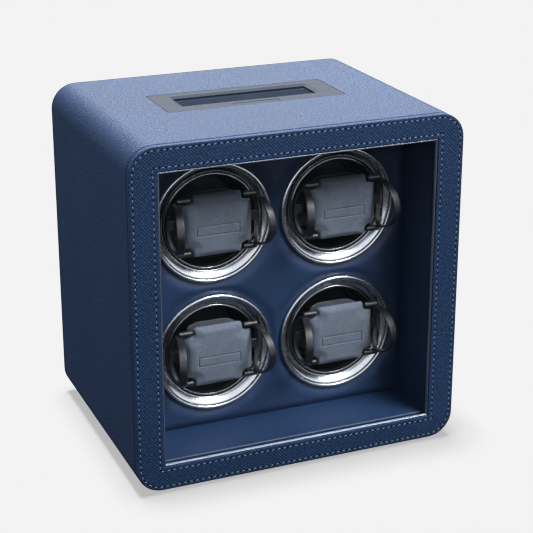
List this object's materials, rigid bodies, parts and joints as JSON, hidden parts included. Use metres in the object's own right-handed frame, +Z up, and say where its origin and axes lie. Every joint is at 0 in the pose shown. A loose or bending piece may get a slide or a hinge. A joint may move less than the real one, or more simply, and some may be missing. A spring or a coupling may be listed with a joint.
{
  "type": "watch winder box",
  "caption": "Leather-wrapped watch winder box with a glazed door, a display on top, and motor-driven cups that turn sprung watch cuffs.",
  "frame": {"origin": "on the floor, under the middle of the box", "axes": "+Z up, the glazed door faces -Y, +X to the right seen from the door"},
  "size_m": [0.28, 0.213, 0.286],
  "materials": {
    "wrap_leather": "cross-grained wrap, satin",
    "lining_leather": "smooth lining, satin",
    "rear_board": "black faced fibreboard",
    "steel": "plain",
    "chrome": "polished",
    "bowl_black": "gloss black",
    "spring_black": "gloss black",
    "suede": "short-napped grey suede",
    "bezel_grey": "satin grey",
    "screen": "dark blue display",
    "board": "green board",
    "black_plastic": "matt",
    "rubber": "matt",
    "clear_glass": "clear float glass"
  },
  "bodies": {
    "cabinet": {"outer_shell": "wrap_leather", "rear_cover": "rear_board", "cover_screw_left": "steel", "cover_screw_right": "steel", "compartment_liner": "lining_leather", "cup_panel": "lining_leather", "motor_plate": "rear_board", "display_bezel": "bezel_grey", "display_pane": "screen", "display_module": "black_plastic", "control_board": "board", "power_socket": "black_plastic", "catch_magnet": "steel", "foot_front_left": "rubber", "foot_front_right": "rubber", "foot_rear_left": "rubber", "foot_rear_right": "rubber", "hinge_case_leaf_lower": "steel", "hinge_case_leaf_upper": "steel", "bezel_ring_upper_left": "chrome", "motor_upper_left": "steel", "bezel_ring_upper_right": "chrome", "motor_upper_right": "steel", "bezel_ring_lower_left": "chrome", "motor_lower_left": "steel", "bezel_ring_lower_right": "chrome", "motor_lower_right": "steel"},
    "door": {"door_frame": "wrap_leather", "door_glass": "clear_glass", "glass_bead": "bezel_grey", "door_strike": "steel", "hinge_door_leaf_lower": "steel", "hinge_door_leaf_upper": "steel", "hinge_pin_lower": "steel", "hinge_pin_upper": "steel"},
    "mode_button": {"mode_button": "bezel_grey"},
    "cup_upper_left": {"cup_bowl_upper_left": "bowl_black", "cup_lip_upper_left": "chrome"},
    "cuff_upper_left": {"cuff_rear_pad_upper_left": "suede", "cuff_spring_left_upper_left": "spring_black", "cuff_spring_right_upper_left": "spring_black"},
    "pad_upper_left": {"cuff_front_pad_upper_left": "suede"},
    "cup_upper_right": {"cup_bowl_upper_right": "bowl_black", "cup_lip_upper_right": "chrome"},
    "cuff_upper_right": {"cuff_rear_pad_upper_right": "suede", "cuff_spring_left_upper_right": "spring_black", "cuff_spring_right_upper_right": "spring_black"},
    "pad_upper_right": {"cuff_front_pad_upper_right": "suede"},
    "cup_lower_left": {"cup_bowl_lower_left": "bowl_black", "cup_lip_lower_left": "chrome"},
    "cuff_lower_left": {"cuff_rear_pad_lower_left": "suede", "cuff_spring_left_lower_left": "spring_black", "cuff_spring_right_lower_left": "spring_black"},
    "pad_lower_left": {"cuff_front_pad_lower_left": "suede"},
    "cup_lower_right": {"cup_bowl_lower_right": "bowl_black", "cup_lip_lower_right": "chrome"},
    "cuff_lower_right": {"cuff_rear_pad_lower_right": "suede", "cuff_spring_left_lower_right": "spring_black", "cuff_spring_right_lower_right": "spring_black"},
    "pad_lower_right": {"cuff_front_pad_lower_right": "suede"}
  },
  "joints": [
    {"name": "door_hinge", "type": "hinge", "parent": "cabinet", "child": "door", "pos_m": [0.137, -0.1035, 0.1445], "axis": [0, 0, 1], "range_deg": [0, 100]},
    {"name": "mode_button_press", "type": "slide", "parent": "cabinet", "child": "mode_button", "axis": [0, 0, -1], "range_m": [0, 0.0008], "stiffness_N_per_m": 600},
    {"name": "cup_spin_upper_left", "type": "hinge", "parent": "cabinet", "child": "cup_upper_left", "pos_m": [-0.05475, 0, 0.202], "axis": [0, 1, 0], "continuous": true},
    {"name": "cuff_pull_upper_left", "type": "slide", "parent": "cup_upper_left", "child": "cuff_upper_left", "axis": [0, -1, 0], "range_m": [0, 0.012]},
    {"name": "pad_squeeze_upper_left", "type": "slide", "parent": "cuff_upper_left", "child": "pad_upper_left", "axis": [0, 1, 0], "range_m": [0, 0.003], "stiffness_N_per_m": 1200},
    {"name": "cup_spin_upper_right", "type": "hinge", "parent": "cabinet", "child": "cup_upper_right", "pos_m": [0.05475, 0, 0.202], "axis": [0, 1, 0], "continuous": true},
    {"name": "cuff_pull_upper_right", "type": "slide", "parent": "cup_upper_right", "child": "cuff_upper_right", "axis": [0, -1, 0], "range_m": [0, 0.012]},
    {"name": "pad_squeeze_upper_right", "type": "slide", "parent": "cuff_upper_right", "child": "pad_upper_right", "axis": [0, 1, 0], "range_m": [0, 0.003], "stiffness_N_per_m": 1200},
    {"name": "cup_spin_lower_left", "type": "hinge", "parent": "cabinet", "child": "cup_lower_left", "pos_m": [-0.05475, 0, 0.09], "axis": [0, 1, 0], "continuous": true},
    {"name": "cuff_pull_lower_left", "type": "slide", "parent": "cup_lower_left", "child": "cuff_lower_left", "axis": [0, -1, 0], "range_m": [0, 0.012]},
    {"name": "pad_squeeze_lower_left", "type": "slide", "parent": "cuff_lower_left", "child": "pad_lower_left", "axis": [0, 1, 0], "range_m": [0, 0.003], "stiffness_N_per_m": 1200},
    {"name": "cup_spin_lower_right", "type": "hinge", "parent": "cabinet", "child": "cup_lower_right", "pos_m": [0.05475, 0, 0.09], "axis": [0, 1, 0], "continuous": true},
    {"name": "cuff_pull_lower_right", "type": "slide", "parent": "cup_lower_right", "child": "cuff_lower_right", "axis": [0, -1, 0], "range_m": [0, 0.012]},
    {"name": "pad_squeeze_lower_right", "type": "slide", "parent": "cuff_lower_right", "child": "pad_lower_right", "axis": [0, 1, 0], "range_m": [0, 0.003], "stiffness_N_per_m": 1200}
  ]
}
